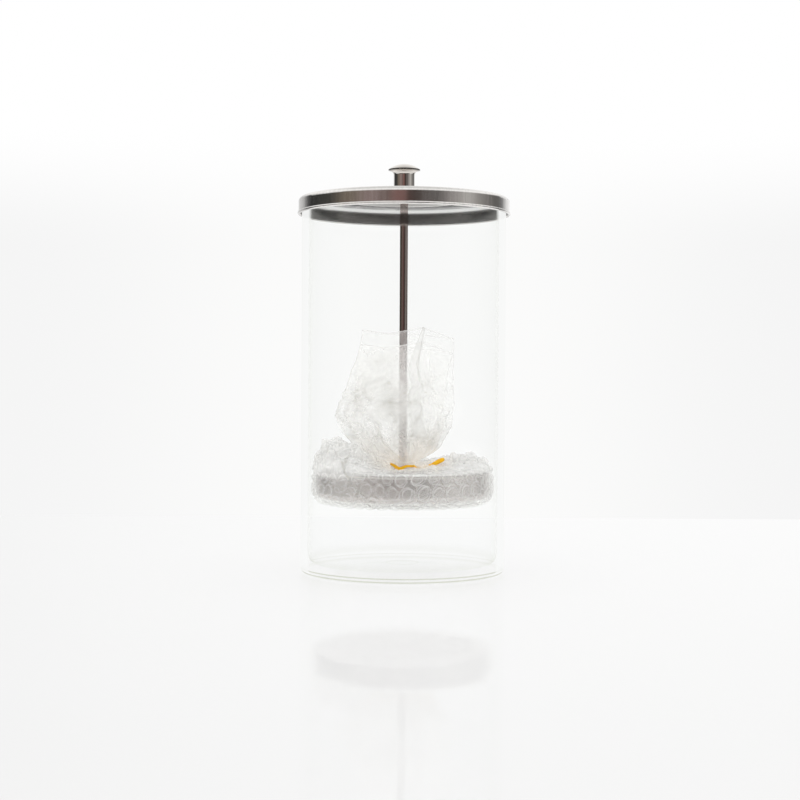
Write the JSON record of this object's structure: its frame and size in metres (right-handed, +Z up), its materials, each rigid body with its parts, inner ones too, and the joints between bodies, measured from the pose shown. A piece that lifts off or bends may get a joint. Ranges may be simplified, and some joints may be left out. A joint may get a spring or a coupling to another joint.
{
  "type": "disinfectant jar",
  "caption": "Straight glass jar with a loose pressed-steel lid, whose small knob carries a rod and a shallow perforated basket, still wrapped in bubble film for transit.",
  "frame": {"origin": "centre of the circle that the jar stands on, at the height of the surface under it", "axes": "+Z up along the jar's axis; +X to the right and +Y away from a viewer who faces the jar"},
  "size_m": [0.1052, 0.1052, 0.202],
  "materials": {
    "glass": "clear, polished",
    "lid_steel": "brushed, bright edges",
    "knob_steel": "polished",
    "rod_steel": "polished",
    "hardware": "satin",
    "basket_steel": "satin, perforated",
    "bubble_film": "translucent film",
    "amber_rubber": "smooth"
  },
  "bodies": {
    "jar": {"glass_jar": "glass"},
    "lid": {"lid_cover": "lid_steel"},
    "carrier": {"knob_sleeve": "knob_steel", "knob_cap": "knob_steel", "rod": "rod_steel", "lid_washer": "hardware", "lid_nut": "hardware", "basket_pan": "basket_steel", "basket_upper_washer": "hardware", "basket_upper_nut": "hardware", "basket_lower_washer": "hardware", "basket_lower_nut": "hardware", "bubble_wrap": "bubble_film", "bag_tail": "bubble_film", "rubber_band": "amber_rubber"}
  },
  "joints": [
    {"name": "lid_lift", "type": "slide", "parent": "jar", "child": "lid", "axis": [0, 0, 1], "range_m": [0, 0.17]},
    {"name": "carrier_turn", "type": "hinge", "parent": "lid", "child": "carrier", "pos_m": [0, 0, 0.187], "axis": [0, 0, 1], "continuous": true}
  ]
}
